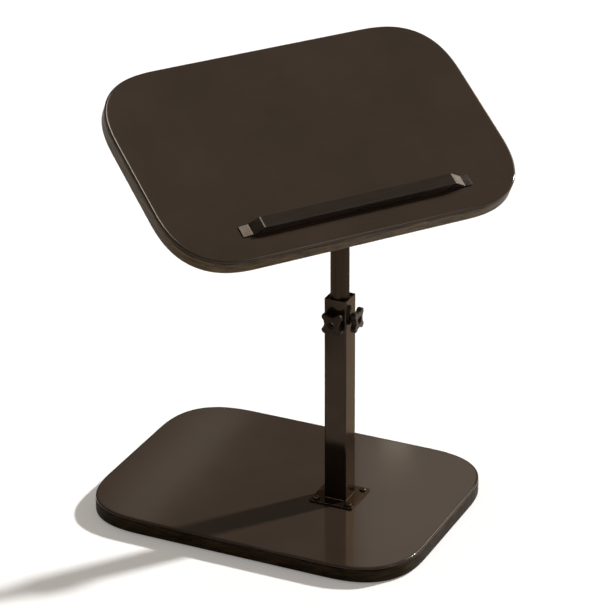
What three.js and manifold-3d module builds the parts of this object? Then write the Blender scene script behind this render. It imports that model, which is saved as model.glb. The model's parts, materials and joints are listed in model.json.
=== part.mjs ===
// Folding side table: a wooden top that swivels, tilts and changes height on a telescopic column.
// Millimetres, +Z up. The origin is on the floor, on the axis of the column.
// The base's long side lies along X and its front faces -Y.
import * as THREE from 'three';
import { mergeVertices } from 'three/addons/utils/BufferGeometryUtils.js';
import Module from 'manifold-3d';

const wasm = await Module();
wasm.setup();

// Fits and drawing steps
const clearance = 0.3; // between pieces that slide, turn or are glued
const overrun = 5; // how far a cutting tool runs past the face that it opens
const boltSteps = 16; // sides of small round pieces
const tubeSteps = 32; // sides of the round post and its bores
const cornerSteps = 9; // steps round a board's corner
const arrisSteps = 3; // steps round an edge rounding

// Pose of the moving pieces as built
const topSwivel = THREE.MathUtils.degToRad(54.65); // top's long side from the base's long side
const topTilt = THREE.MathUtils.degToRad(29.4); // top's fall towards its front edge

// Boards: a thin laminated deck over a core with a plastic band round it
const deckThickness = 5;
const deckArris = 3.5; // rounding of the deck's upper edge
const seamChamfer = 0.9; // chamfer under the deck that shows as a fine dark line
const coreThickness = 23;
const bandThickness = 2;
const bandArris = 2; // rounding of the band's lower edge
const cornerReach = 134; // how far a board's corner curve runs along each side
const cornerPower = 2.7; // 2 is a circle, more is squarer

// Base
const baseWidth = 600;
const baseDepth = 448;
const columnSideways = 100; // column's axis to the right of the base's middle
const columnForward = 4; // column's axis in front of the base's middle
const sheetThickness = 2; // non-slip sheet under the base
const sheetInset = 12;

// Top and where it sits on its bracket
const topWidth = 640;
const topDepth = 400;
const topSideways = 72; // top's middle to the left of the tilt bolt's middle
const pivotToTop = 48; // tilt axis to the top's underside

// Column: square outer tube on a flange, round post inside it
const flangeSide = 80;
const flangeCorner = 3;
const flangeThickness = 3;
const flangeHolePitch = 60;
const columnSide = 40;
const columnWall = 1.5;
const columnCorner = 2.5;
const columnHeight = 375;
const postDiameter = 32;
const postWall = 1.5;
const postLength = 380;
const pivotToPost = 33; // tilt axis above the end of the post

// Plastic guides and the post's lower end
const sleeveLength = 60;
const sleeveRecess = 4; // upper sleeve's top below the column's rim
const guideCorner = 2;
const bushLength = 40;
const plugFlangeThickness = 3;
const plugFlangeDiameter = 35.6;
const plugDepth = 20;
const collarHeight = 6;
const collarDiameter = 36;
const collarBelowSleeve = 60.4; // room left for the post to rise until the collar meets the sleeve

// Clamps at the column's rim and at the tilt bolt
const clampBelowRim = 38;
const studDiameter = 8;
const studHoleDiameter = 9.4;
const studRecess = 5; // stud's end inside the knob's face
const tipThickness = 2;
const tipDiameter = 7;
const weldNutDiameter = 14;
const weldNutHeight = 4.2;

// Star knob
const knobTipRadius = 23;
const knobWaistRadius = 13.5;
const knobLobeRadius = 6;
const knobLobes = 4;
const knobStarThickness = 9.5;
const knobHubDiameter = 17;
const knobHubHeight = 2;
const knobEdge = 1.8; // rounding of the knob's edges
const knobDishDiameter = 14;
const knobDishDepth = 1.6;
const lobeSteps = 6;
const waistSteps = 3;

// Tilt joint
const cheekThickness = 3.5;
const cheekSpan = 34; // over the outside of both cheeks
const cheekRadius = 14;
const headPlateThickness = 4;
const headPlateDepth = 32;
const frictionWasherThickness = 1.5;
const frictionWasherDiameter = 24;
const earThickness = 3.5;
const earRadius = 14;
const earTopWidth = 56;
const steelWasherThickness = 2;
const steelWasherDiameter = 20;
const spacerDiameter = 13;
const boltHeadDiameter = 16;
const boltHeadHeight = 4;

// Bracket under the top
const bracketWidth = 110;
const bracketDepth = 80;
const bracketThickness = 3;
const bracketCorner = 6;
const bracketHolePitchX = 88;
const bracketHolePitchY = 58;

// Screws into threaded inserts
const screwDiameter = 6;
const screwLength = 20;
const screwHeadDiameter = 11.5;
const screwHeadHeight = 3.5;
const screwHoleDiameter = 6.6;
const screwSocketDepth = 2;
const screwSocketDiameter = 4.6;
const insertDiameter = 9;
const insertLength = 18;
const insertHoleDepth = 21;

// Stop bar across the top
const barLength = 420;
const barHeight = 15;
const barDepth = 22;
const barTabLength = 16;
const barTabThickness = 3;
const barSlopeRun = 19;
const barSideways = 8; // bar's middle to the right of the top's middle
const barFromFront = 44; // bar's front face behind the top's front edge
const barEdge = 1.2;
const barScrewDiameter = 4;
const barScrewPitch = 300;
const barScrewDepth = 8; // screw's reach into the bar
const barScrewHeadDiameter = 8;
const barScrewHeadHeight = 2.6;

// Heights that follow from the sizes above
const boardThickness = deckThickness + coreThickness;
const baseTop = sheetThickness + boardThickness;
const flangeTop = baseTop + flangeThickness;
const rimHeight = flangeTop + columnHeight;
const clampHeight = rimHeight - clampBelowRim;
const sleeveTop = rimHeight - sleeveRecess;
const sleeveBottom = sleeveTop - sleeveLength;
const collarBottom = sleeveBottom - collarBelowSleeve - collarHeight;
const bushTop = collarBottom - clearance;
const bushBottom = bushTop - bushLength;
const postBottom = bushBottom - clearance;
const postTop = postBottom + postLength;
const pivotHeight = postTop + pivotToPost;
const guideSide = columnSide - 2 * columnWall - 2 * clearance;
const guideBore = postDiameter + 2 * clearance;
const columnMiddle = columnSide / 2;
const postMiddle = postDiameter / 2;
const studBore = studDiameter + 2 * clearance;
const topSurface = pivotToTop + boardThickness;
const earInner = cheekSpan / 2 + frictionWasherThickness + 2 * clearance;
const earOuter = earInner + earThickness;

// Solids

function toSolid(geometry) {
  const bare = geometry.index ? geometry.toNonIndexed() : geometry.clone();
  bare.deleteAttribute('normal');
  bare.deleteAttribute('uv');
  const merged = mergeVertices(bare);
  return new wasm.Manifold(new wasm.Mesh({
    numProp: 3,
    vertProperties: new Float32Array(merged.attributes.position.array),
    triVerts: new Uint32Array(merged.index.array),
  }));
}

function toGeometry(solid) {
  const mesh = solid.getMesh();
  const geometry = new THREE.BufferGeometry();
  geometry.setAttribute('position', new THREE.BufferAttribute(mesh.vertProperties, 3));
  geometry.setIndex(new THREE.BufferAttribute(mesh.triVerts, 1));
  geometry.computeVertexNormals();
  return geometry;
}

function cut(geometry, ...tools) {
  return toGeometry(tools.reduce((solid, tool) => solid.subtract(toSolid(tool)), toSolid(geometry)));
}

function join(geometry, ...others) {
  return toGeometry(others.reduce((solid, other) => solid.add(toSolid(other)), toSolid(geometry)));
}

// A cylinder along Z from one height to another
function rod(diameter, bottom, top, x = 0, y = 0, steps = boltSteps) {
  const geometry = new THREE.CylinderGeometry(diameter / 2, diameter / 2, top - bottom, steps);
  return geometry.rotateX(Math.PI / 2).translate(x, y, (bottom + top) / 2);
}

function ring(outer, inner, bottom, top, steps = boltSteps) {
  return cut(rod(outer, bottom, top, 0, 0, steps), rod(inner, bottom - overrun, top + overrun, 0, 0, steps));
}

function block(width, depth, bottom, top) {
  return new THREE.BoxGeometry(width, depth, top - bottom).translate(0, 0, (bottom + top) / 2);
}

function extrude(outline, bottom, top) {
  const shape = new THREE.Shape(outline);
  return new THREE.ExtrudeGeometry(shape, { depth: top - bottom, bevelEnabled: false }).translate(0, 0, bottom);
}

// A rectangle with corner curves of a given reach; power 2 makes them circles
function roundedOutline(width, depth, reach, power = 2, steps = arrisSteps) {
  const quarters = [[1, 1], [-1, 1], [-1, -1], [1, -1]];
  return quarters.flatMap(([sideX, sideY], quarter) => {
    const points = [];
    for (let step = 0; step <= steps; step += 1) {
      const along = sideX * sideY > 0 ? step : steps - step;
      const angle = (along / steps) * Math.PI / 2;
      const x = width / 2 - reach + reach * Math.cos(angle) ** (2 / power);
      const y = depth / 2 - reach + reach * Math.sin(angle) ** (2 / power);
      points.push(new THREE.Vector2(sideX * x, sideY * y));
    }
    return points;
  });
}

// A closed solid through outlines of equal point count, each with its height, lowest first
function stack(levels) {
  const count = levels[0].outline.length;
  const positions = levels.flatMap(({ outline, z }) => outline.flatMap((p) => [p.x, p.y, z]));
  const faces = THREE.ShapeUtils.triangulateShape(levels[0].outline, []);
  const lift = (levels.length - 1) * count;
  const index = faces.flatMap(([a, b, c]) => [a, c, b, a + lift, b + lift, c + lift]);
  for (let level = 0; level < levels.length - 1; level += 1) {
    for (let i = 0; i < count; i += 1) {
      const low = level * count + i;
      const lowNext = level * count + ((i + 1) % count);
      index.push(low, lowNext, lowNext + count, low, lowNext + count, low + count);
    }
  }
  const geometry = new THREE.BufferGeometry();
  geometry.setAttribute('position', new THREE.Float32BufferAttribute(positions, 3));
  geometry.setIndex(index);
  geometry.computeVertexNormals();
  return geometry;
}

function boardOutline(width, depth, inset) {
  const reach = cornerReach - inset;
  return roundedOutline(width - 2 * inset, depth - 2 * inset, reach, cornerPower, cornerSteps);
}

// Quarter round at the edge of a board: insets and rises of its steps
function quarterRound(radius) {
  return Array.from({ length: arrisSteps + 1 }, (unused, step) => {
    const angle = (step / arrisSteps) * Math.PI / 2;
    return { inset: radius * (1 - Math.cos(angle)), rise: radius * Math.sin(angle) };
  });
}

// Boards, with their underside at height zero

function deckPanel(width, depth) {
  const bottom = coreThickness + clearance;
  const top = coreThickness + deckThickness;
  const levels = [
    { outline: boardOutline(width, depth, seamChamfer), z: bottom },
    { outline: boardOutline(width, depth, 0), z: bottom + seamChamfer },
    ...quarterRound(deckArris).map(({ inset, rise }) => (
      { outline: boardOutline(width, depth, inset), z: top - deckArris + rise }
    )),
  ];
  return stack(levels);
}

function edgeBand(width, depth) {
  const levels = quarterRound(bandArris).reverse().map(({ inset, rise }) => (
    { outline: boardOutline(width, depth, inset), z: bandArris - rise }
  ));
  levels.push({ outline: boardOutline(width, depth, 0), z: coreThickness });
  const inner = extrude(boardOutline(width, depth, bandThickness), -overrun, coreThickness + overrun);
  return cut(stack(levels), inner);
}

function boardCore(width, depth) {
  return extrude(boardOutline(width, depth, bandThickness + clearance), 0, coreThickness);
}

// Four places at the corners of a rectangle
function rectanglePlaces(pitchX, pitchY) {
  return [[-1, -1], [1, -1], [1, 1], [-1, 1]].map(([x, y]) => [x * pitchX / 2, y * pitchY / 2]);
}

// Small hardware, each along Z with its seat at height zero

// Pan head above the seat, shank below it, hexagonal socket in the head
function panScrew(diameter, length, headDiameter, headHeight) {
  const socket = rod(screwSocketDiameter, headHeight - screwSocketDepth, headHeight + overrun, 0, 0, 6);
  const crown = quarterRound(headHeight / 2);
  const profile = [
    new THREE.Vector2(0, -length),
    new THREE.Vector2(diameter / 2, -length),
    new THREE.Vector2(diameter / 2, 0),
    new THREE.Vector2(headDiameter / 2, 0),
    ...crown.map(({ inset, rise }) => new THREE.Vector2(headDiameter / 2 - inset, headHeight / 2 + rise)),
    new THREE.Vector2(0, headHeight),
  ];
  const turned = new THREE.LatheGeometry(profile, boltSteps).rotateX(Math.PI / 2);
  return cut(turned, socket);
}

function plainScrew(diameter, length, headDiameter, headHeight) {
  return join(rod(diameter, -length, clearance), rod(headDiameter, 0, headHeight));
}

function insert() {
  return ring(insertDiameter, screwHoleDiameter, -insertLength, -clearance);
}

// Star outline: round lobes joined by hollow waists that are tangent to them
function starOutline() {
  const pitch = (2 * Math.PI) / knobLobes;
  const reach = knobTipRadius - knobLobeRadius;
  const lobeX = reach * Math.cos(pitch / 2);
  const lobeY = reach * Math.sin(pitch / 2);
  const toWaist = knobWaistRadius - lobeX;
  const waist = (toWaist ** 2 + lobeY ** 2 - knobLobeRadius ** 2) / (2 * (knobLobeRadius - toWaist));
  const tangent = Math.atan2(lobeY, knobWaistRadius + waist - lobeX);
  const points = [];
  for (let lobe = 0; lobe < knobLobes; lobe += 1) {
    const waistAngle = lobe * pitch;
    const waistCentre = knobWaistRadius + waist;
    for (let step = 1; step < waistSteps; step += 1) {
      const turn = waistAngle + Math.PI + tangent - (2 * tangent * step) / waistSteps;
      points.push(new THREE.Vector2(
        waistCentre * Math.cos(waistAngle) + waist * Math.cos(turn),
        waistCentre * Math.sin(waistAngle) + waist * Math.sin(turn),
      ));
    }
    const lobeAngle = waistAngle + pitch / 2;
    const sweep = tangent + pitch / 2;
    for (let step = 0; step <= lobeSteps; step += 1) {
      const turn = lobeAngle - sweep + (2 * sweep * step) / lobeSteps;
      points.push(new THREE.Vector2(
        reach * Math.cos(lobeAngle) + knobLobeRadius * Math.cos(turn),
        reach * Math.sin(lobeAngle) + knobLobeRadius * Math.sin(turn),
      ));
    }
  }
  return points;
}

// Star knob along Z: its hub starts at height zero and its dished face looks up
function starKnob() {
  const height = knobHubHeight + knobStarThickness;
  const star = new THREE.ExtrudeGeometry(new THREE.Shape(starOutline()), {
    depth: knobStarThickness - 2 * knobEdge,
    bevelThickness: knobEdge,
    bevelSize: knobEdge,
    bevelOffset: -knobEdge,
    bevelSegments: 2,
  }).translate(0, 0, knobHubHeight + knobEdge);
  const hub = rod(knobHubDiameter, 0, knobHubHeight + knobEdge);
  const bore = rod(studBore, -overrun, height + overrun);
  const dish = rod(knobDishDiameter, height - knobDishDepth, height + overrun);
  return cut(join(star, hub), bore, dish);
}

// Materials

const finishes = {
  deck: { color: '#3d3229', roughness: 0.35, metalness: 0 },
  band: { color: '#3a2e25', roughness: 0.5, metalness: 0 },
  core: { color: '#8c7355', roughness: 0.9, metalness: 0 },
  rubber: { color: '#1b1a19', roughness: 0.95, metalness: 0 },
  coated: { color: '#1d1a18', roughness: 0.35, metalness: 0.2 },
  steel: { color: '#8b8984', roughness: 0.35, metalness: 1 },
  blackScrew: { color: '#2b2826', roughness: 0.3, metalness: 0.8 },
  brass: { color: '#b08d4a', roughness: 0.35, metalness: 1 },
  nylon: { color: '#141312', roughness: 0.6, metalness: 0 },
  knob: { color: '#171513', roughness: 0.55, metalness: 0 },
  bar: { color: '#191512', roughness: 0.4, metalness: 0 },
};

// Scene graph: what stands still, then what slides, swivels and tilts

const table = new THREE.Group();
const post = new THREE.Group();
post.rotation.z = topSwivel;
const top = new THREE.Group();
top.position.z = pivotHeight;
top.rotation.x = topTilt;
post.add(top);
table.add(post);

function piece(name, parent, finish, geometry) {
  const mesh = new THREE.Mesh(geometry, new THREE.MeshStandardMaterial(finishes[finish]));
  mesh.name = name;
  parent.add(mesh);
  return mesh;
}

// Base board
const basePlace = new THREE.Vector3(-columnSideways, columnForward, sheetThickness);
const flangePlaces = rectanglePlaces(flangeHolePitch, flangeHolePitch);
const sheetOutline = boardOutline(baseWidth, baseDepth, sheetInset);
piece('base_nonslip_sheet', table, 'rubber', extrude(sheetOutline, 0, sheetThickness))
  .position.set(basePlace.x, basePlace.y, 0);
const baseInsertHoles = flangePlaces.map(([x, y]) => rod(
  insertDiameter + 2 * clearance,
  boardThickness - insertHoleDepth,
  boardThickness + overrun,
  x - basePlace.x,
  y - basePlace.y,
));
piece('base_core', table, 'core', cut(boardCore(baseWidth, baseDepth), ...baseInsertHoles))
  .position.copy(basePlace);
piece('base_edge_band', table, 'band', edgeBand(baseWidth, baseDepth)).position.copy(basePlace);
piece('base_deck', table, 'deck', cut(deckPanel(baseWidth, baseDepth), ...baseInsertHoles))
  .position.copy(basePlace);

// Column and its flange
const flangeHoles = flangePlaces.map(([x, y]) => rod(
  screwHoleDiameter,
  baseTop - overrun,
  flangeTop + overrun,
  x,
  y,
));
const flangeOutline = roundedOutline(flangeSide, flangeSide, flangeCorner);
piece('column_flange', table, 'coated', cut(extrude(flangeOutline, baseTop, flangeTop), ...flangeHoles));

// Holes for the two clamp studs, through the front and right walls
function studHoles() {
  const length = columnSide / 2 + overrun;
  const front = rod(studHoleDiameter, 0, length).rotateX(Math.PI / 2).translate(0, 0, clampHeight);
  const right = rod(studHoleDiameter, 0, length).rotateY(Math.PI / 2).translate(0, 0, clampHeight);
  return [front, right];
}

const columnOutline = roundedOutline(columnSide, columnSide, columnCorner);
const columnInside = columnSide - 2 * columnWall;
const columnHollow = roundedOutline(columnInside, columnInside, columnCorner - columnWall);
piece('outer_column', table, 'coated', cut(
  extrude(columnOutline, flangeTop, rimHeight),
  extrude(columnHollow, flangeTop - overrun, rimHeight + overrun),
  ...studHoles(),
));

flangePlaces.forEach(([x, y], index) => {
  piece(`flange_screw_${index + 1}`, table, 'blackScrew',
    panScrew(screwDiameter, screwLength, screwHeadDiameter, screwHeadHeight)).position.set(x, y, flangeTop);
  piece(`flange_insert_${index + 1}`, table, 'brass', insert()).position.set(x, y, baseTop);
});

// Plastic guides: the upper sleeve stays in the column, the lower bush slides with the post
function guide(bottom, topZ) {
  return cut(
    extrude(roundedOutline(guideSide, guideSide, guideCorner), bottom, topZ),
    rod(guideBore, bottom - overrun, topZ + overrun, 0, 0, tubeSteps),
  );
}

piece('upper_guide_sleeve', table, 'nylon', cut(guide(sleeveBottom, sleeveTop), ...studHoles()));
piece('lower_guide_bush', table, 'nylon', guide(bushBottom, bushTop));

// Clamps on the front and right faces: weld nut, stud with a soft tip, star knob
const clampOut = { front: new THREE.Euler(Math.PI / 2, 0, 0), right: new THREE.Euler(0, Math.PI / 2, 0) };
for (const [side, turn] of Object.entries(clampOut)) {
  const clamp = new THREE.Group();
  clamp.position.z = clampHeight;
  clamp.rotation.copy(turn);
  table.add(clamp);
  const tipStart = postMiddle + clearance;
  const studStart = tipStart + tipThickness;
  const nutEnd = columnMiddle + weldNutHeight;
  const knobStart = nutEnd + clearance;
  const studEnd = knobStart + knobHubHeight + knobStarThickness - studRecess;
  piece(`${side}_weld_nut`, clamp, 'coated', ring(weldNutDiameter, studBore, columnMiddle, nutEnd));
  piece(`${side}_clamp_tip`, clamp, 'nylon', rod(tipDiameter, tipStart, studStart));
  piece(`${side}_clamp_stud`, clamp, 'blackScrew', rod(studDiameter, studStart, studEnd));
  piece(`${side}_clamp_knob`, clamp, 'knob', starKnob()).position.z = knobStart;
}

// Round post with its end plug and the collar that keeps the lower bush in place
piece('inner_post', post, 'coated',
  ring(postDiameter, postDiameter - 2 * postWall, postBottom, postTop, tubeSteps));
const plugBody = postDiameter - 2 * postWall - 2 * clearance;
piece('post_end_plug', post, 'nylon', join(
  rod(plugFlangeDiameter, postBottom - plugFlangeThickness, postBottom, 0, 0, tubeSteps),
  rod(plugBody, postBottom - plugFlangeThickness, postBottom + plugDepth, 0, 0, tubeSteps),
));
piece('post_collar', post, 'steel',
  ring(collarDiameter, guideBore, collarBottom, collarBottom + collarHeight, tubeSteps));

// Fork on the post's end: a plate with two upright cheeks
function sidePlate(outline, inner, outer) {
  const plate = extrude(outline, inner, outer);
  return plate.rotateY(Math.PI / 2).rotateX(Math.PI / 2);
}

// Outline of a lug: straight sides from a foot to a round end about the tilt axis
function lugOutline(radius, foot, footWidth) {
  const points = [new THREE.Vector2(footWidth / 2, foot)];
  const slope = Math.atan2(Math.abs(foot), footWidth / 2);
  const away = -Math.sign(foot);
  const reach = Math.hypot(foot, footWidth / 2);
  const start = slope - Math.acos(radius / reach);
  const steps = 2 * arrisSteps + 4;
  for (let step = 0; step <= steps; step += 1) {
    const angle = -start + ((Math.PI + 2 * start) * step) / steps;
    points.push(new THREE.Vector2(radius * Math.cos(angle), away * radius * Math.sin(angle)));
  }
  points.push(new THREE.Vector2(-footWidth / 2, foot));
  return away < 0 ? points.reverse() : points;
}

const boltHole = rod(studBore, -cheekSpan, cheekSpan).rotateY(Math.PI / 2);
const cheekOutline = lugOutline(cheekRadius, -pivotToPost, headPlateDepth);
const cheekInner = cheekSpan / 2 - cheekThickness;
const headPlate = block(cheekSpan, headPlateDepth, -pivotToPost, headPlateThickness - pivotToPost);
const cheeks = [-1, 1].map((side) => {
  const near = side < 0 ? -cheekSpan / 2 : cheekInner;
  return sidePlate(cheekOutline, near, near + cheekThickness);
});
piece('post_head', post, 'coated', cut(join(headPlate, ...cheeks), boltHole)).position.z = pivotHeight;
piece('head_spacer', post, 'steel', ring(
  spacerDiameter,
  studBore,
  clearance - cheekInner,
  cheekInner - clearance,
).rotateY(Math.PI / 2)).position.z = pivotHeight;

// Bracket under the top: a plate with two ears outside the fork's cheeks
const bracketPlaces = rectanglePlaces(bracketHolePitchX, bracketHolePitchY);
const bracketTop = pivotToTop - clearance;
const bracketBottom = bracketTop - bracketThickness;
const bracketHoles = bracketPlaces.map(([x, y]) => rod(
  screwHoleDiameter,
  bracketBottom - overrun,
  pivotToTop + overrun,
  x,
  y,
));
const bracketPlate = extrude(
  roundedOutline(bracketWidth, bracketDepth, bracketCorner),
  bracketBottom,
  bracketTop,
);
const earOutline = lugOutline(earRadius, bracketBottom + bracketThickness / 2, earTopWidth);
const ears = [-1, 1].map((side) => {
  const near = side < 0 ? -earOuter : earInner;
  return sidePlate(earOutline, near, near + earThickness);
});
piece('top_bracket', top, 'coated', cut(join(bracketPlate, ...ears), ...bracketHoles, boltHole));

bracketPlaces.forEach(([x, y], index) => {
  const screw = piece(`bracket_screw_${index + 1}`, top, 'blackScrew',
    panScrew(screwDiameter, screwLength, screwHeadDiameter, screwHeadHeight));
  screw.rotation.x = Math.PI;
  screw.position.set(x, y, bracketBottom - clearance);
  const nut = piece(`bracket_insert_${index + 1}`, top, 'brass', insert());
  nut.rotation.x = Math.PI;
  nut.position.set(x, y, pivotToTop);
});

// Tilt bolt with its washers and star knob, along the tilt axis
const frictionStart = cheekSpan / 2 + clearance;
for (const [side, name] of [[-1, 'left'], [1, 'right']]) {
  const washer = ring(
    frictionWasherDiameter,
    studBore,
    frictionStart,
    frictionStart + frictionWasherThickness,
  ).rotateY(side * Math.PI / 2);
  piece(`${name}_friction_washer`, top, 'nylon', washer);
}
const washerStart = earOuter + clearance;
const tiltKnobStart = washerStart + steelWasherThickness + clearance;
const tiltBoltEnd = tiltKnobStart + knobHubHeight + knobStarThickness - studRecess;
const headSeat = earOuter + clearance;
piece('tilt_bolt', top, 'steel', join(
  rod(studDiameter, -headSeat - clearance, tiltBoltEnd),
  rod(boltHeadDiameter, -headSeat - boltHeadHeight, -headSeat),
).rotateY(Math.PI / 2));
piece('tilt_clamp_washer', top, 'steel', ring(
  steelWasherDiameter,
  studBore,
  washerStart,
  washerStart + steelWasherThickness,
).rotateY(Math.PI / 2));
const tiltKnob = piece('tilt_clamp_knob', top, 'knob', starKnob());
tiltKnob.rotation.y = Math.PI / 2;
tiltKnob.position.x = tiltKnobStart;

// Top board
const topPlace = new THREE.Vector3(-topSideways, 0, pivotToTop);
const barMiddle = barSideways - topSideways;
const barFront = barFromFront - topDepth / 2;
const barPlaces = [-1, 1].map((side) => [barMiddle + side * barScrewPitch / 2, barFront + barDepth / 2]);
const barScrewHoles = barPlaces.map(([x, y]) => rod(
  barScrewDiameter + 2 * clearance,
  -overrun,
  boardThickness + overrun,
  x - topPlace.x,
  y,
));
const topInsertHoles = bracketPlaces.map(([x, y]) => rod(
  insertDiameter + 2 * clearance,
  -overrun,
  insertHoleDepth,
  x - topPlace.x,
  y,
));
piece('top_core', top, 'core', cut(boardCore(topWidth, topDepth), ...topInsertHoles, ...barScrewHoles))
  .position.copy(topPlace);
piece('top_edge_band', top, 'band', edgeBand(topWidth, topDepth)).position.copy(topPlace);
piece('top_deck', top, 'deck', cut(deckPanel(topWidth, topDepth), ...barScrewHoles))
  .position.copy(topPlace);

// Stop bar: a raised bar whose ends slope down to thin tabs
function stopBar() {
  const half = barLength / 2;
  const slopeFoot = half - barTabLength;
  const slopeHead = slopeFoot - barSlopeRun;
  const side = [
    [slopeHead, barHeight],
    [slopeFoot, barTabThickness],
    [half, barTabThickness],
    [half, 0],
  ];
  const outline = [
    ...side.map(([x, z]) => new THREE.Vector2(-x, z)),
    ...side.reverse().map(([x, z]) => new THREE.Vector2(x, z)),
  ];
  const bar = new THREE.ExtrudeGeometry(new THREE.Shape(outline), {
    depth: barDepth - 2 * barEdge,
    bevelThickness: barEdge,
    bevelSize: barEdge,
    bevelOffset: -barEdge,
    bevelSegments: 2,
  }).translate(0, 0, barEdge);
  return bar.rotateX(Math.PI / 2).translate(0, barDepth, 0);
}

const barSockets = barPlaces.map(([x, y]) => rod(
  barScrewDiameter + 2 * clearance,
  -overrun,
  barScrewDepth + clearance,
  x - barMiddle,
  y - barFront,
));
piece('stop_bar', top, 'bar', cut(stopBar(), ...barSockets))
  .position.set(barMiddle, barFront, topSurface + clearance);
barPlaces.forEach(([x, y], index) => {
  const screw = piece(`bar_screw_${index + 1}`, top, 'steel', plainScrew(
    barScrewDiameter,
    boardThickness + barScrewDepth,
    barScrewHeadDiameter,
    barScrewHeadHeight,
  ));
  screw.rotation.x = Math.PI;
  screw.position.set(x, y, pivotToTop - clearance);
});

export default table;
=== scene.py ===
import json
import math
from contextlib import contextmanager

import bmesh
import bpy
from bpy.props import FloatProperty, FloatVectorProperty, IntProperty, PointerProperty
from mathutils import Matrix, Vector

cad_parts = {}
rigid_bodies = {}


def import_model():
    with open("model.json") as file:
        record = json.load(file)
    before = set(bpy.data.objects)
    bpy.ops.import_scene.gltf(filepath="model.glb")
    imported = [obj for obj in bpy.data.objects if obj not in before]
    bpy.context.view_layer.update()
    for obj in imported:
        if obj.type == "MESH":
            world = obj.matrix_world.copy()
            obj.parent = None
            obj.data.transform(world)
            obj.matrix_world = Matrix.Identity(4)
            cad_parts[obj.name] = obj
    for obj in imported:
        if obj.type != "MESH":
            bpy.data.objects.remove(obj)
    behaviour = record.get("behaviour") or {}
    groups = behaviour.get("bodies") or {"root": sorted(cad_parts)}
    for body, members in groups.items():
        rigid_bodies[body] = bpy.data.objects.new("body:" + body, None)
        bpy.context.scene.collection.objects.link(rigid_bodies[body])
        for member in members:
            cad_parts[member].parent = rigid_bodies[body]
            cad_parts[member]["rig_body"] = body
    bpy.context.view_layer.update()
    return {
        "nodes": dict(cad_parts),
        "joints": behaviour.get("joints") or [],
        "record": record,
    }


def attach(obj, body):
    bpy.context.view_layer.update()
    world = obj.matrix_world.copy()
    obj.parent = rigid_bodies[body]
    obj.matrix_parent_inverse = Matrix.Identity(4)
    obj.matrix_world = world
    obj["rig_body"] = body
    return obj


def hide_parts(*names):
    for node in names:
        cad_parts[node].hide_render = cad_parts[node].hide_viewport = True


# A side table: a round-cornered base, a telescopic column on it, and a top that swivels and tilts.
# Lengths are metres, in the frame of the solids: +Z up, the origin on the floor under the column.

bl_info = {
    "name": "Folding side table",
    "version": (1, 0, 0),
    "blender": (4, 5, 0),
    "location": "View3D > Sidebar > Side table",
    "description": "Models the pieces of a side table round their frame and gives them their finishes",
    "category": "Add Mesh",
}

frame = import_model()

MM = 0.001
NEAR = 0.05 * MM  # how close two places are that count as one
SPARE = 5 * MM  # how far a cutting tool runs past the face that it opens
OVERLAP = 0.5 * MM  # how far a shape reaches into the one that it is joined to
SLIVER = 0.2 * MM  # thickness of the strip that a lug's foot ends in
SAME_WAY = 1 - 1e-4  # the least cosine between two directions that count as one
SENSOR_WIDTH = 36  # width of the camera's sensor, in millimetres
SIGHT = 50  # how far the camera sees
LAMP_TINT = "#FFEFDC"  # a little warmer than daylight
WHITE = (1.0, 1.0, 1.0, 1.0)


# Places: where each moving group's own axes stand in the frame

def joint(name):
    return next(j for j in frame["joints"] if j["name"] == name)


TILT = joint("tilt")
SWIVEL_TURN = Matrix.Rotation(math.atan2(TILT["axis"][1], TILT["axis"][0]), 4, "Z")
TILT_TURN = Matrix.Rotation(-math.radians(TILT["range_deg"][0]), 4, "X")
PIVOT = Matrix.Translation(TILT["pos_m"])

AT_BASE = Matrix.Identity(4)
AT_POST = SWIVEL_TURN
AT_FORK = PIVOT @ SWIVEL_TURN
AT_TOP = AT_FORK @ TILT_TURN
ACROSS = Matrix.Rotation(math.radians(90), 4, "Y")  # turns +Z to +X
FORWARD = Matrix.Rotation(math.radians(90), 4, "X")  # turns +Z to -Y
UPSIDE_DOWN = Matrix.Rotation(math.pi, 4, "X")  # turns +Z to -Z
COLUMN_SIDES = ("front", "right")  # the column's faces that have a clamp
CLAMP_HEIGHT = Matrix.Translation((0, 0, joint("front_clamp_turn")["pos_m"][2]))
AT_CLAMP = {
    "front": CLAMP_HEIGHT @ FORWARD,
    "right": CLAMP_HEIGHT @ ACROSS,
    "tilt": AT_TOP @ ACROSS,
}


def own_box(node, place):
    """Lowest and highest corner of a solid along the axes of its own group."""
    back = place.inverted()
    points = [back @ v.co for v in frame["nodes"][node].data.vertices]
    low = Vector([min(p[axis] for p in points) for axis in range(3)])
    high = Vector([max(p[axis] for p in points) for axis in range(3)])
    return low, high


# Sizes and colours that a user would change

def length(name, millimetres, description):
    return FloatProperty(
        name=name, description=description, default=millimetres * MM, min=0, unit="LENGTH", precision=4)


def angle(name, degrees, description):
    return FloatProperty(
        name=name, description=description, default=math.radians(degrees), subtype="ANGLE", unit="ROTATION")


def portion(name, value, description):
    """A part of a whole, from 0 to 1."""
    return FloatProperty(name=name, description=description, default=value, min=0, max=1)


def count(name, number, description, least):
    return IntProperty(name=name, description=description, default=number, min=least)


def colour(name, code, description):
    """A colour written as the hex value that a screen shows."""
    return FloatVectorProperty(
        name=name, description=description, default=linear(code)[:3], min=0, max=1, subtype="COLOR")


def linear(code):
    """The linear colour of a hex value such as #39302A."""
    parts = [int(code[i:i + 2], 16) / 255 for i in (1, 3, 5)]
    return (*[p / 12.92 if p <= 0.04045 else ((p + 0.055) / 1.055) ** 2.4 for p in parts], 1.0)


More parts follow.
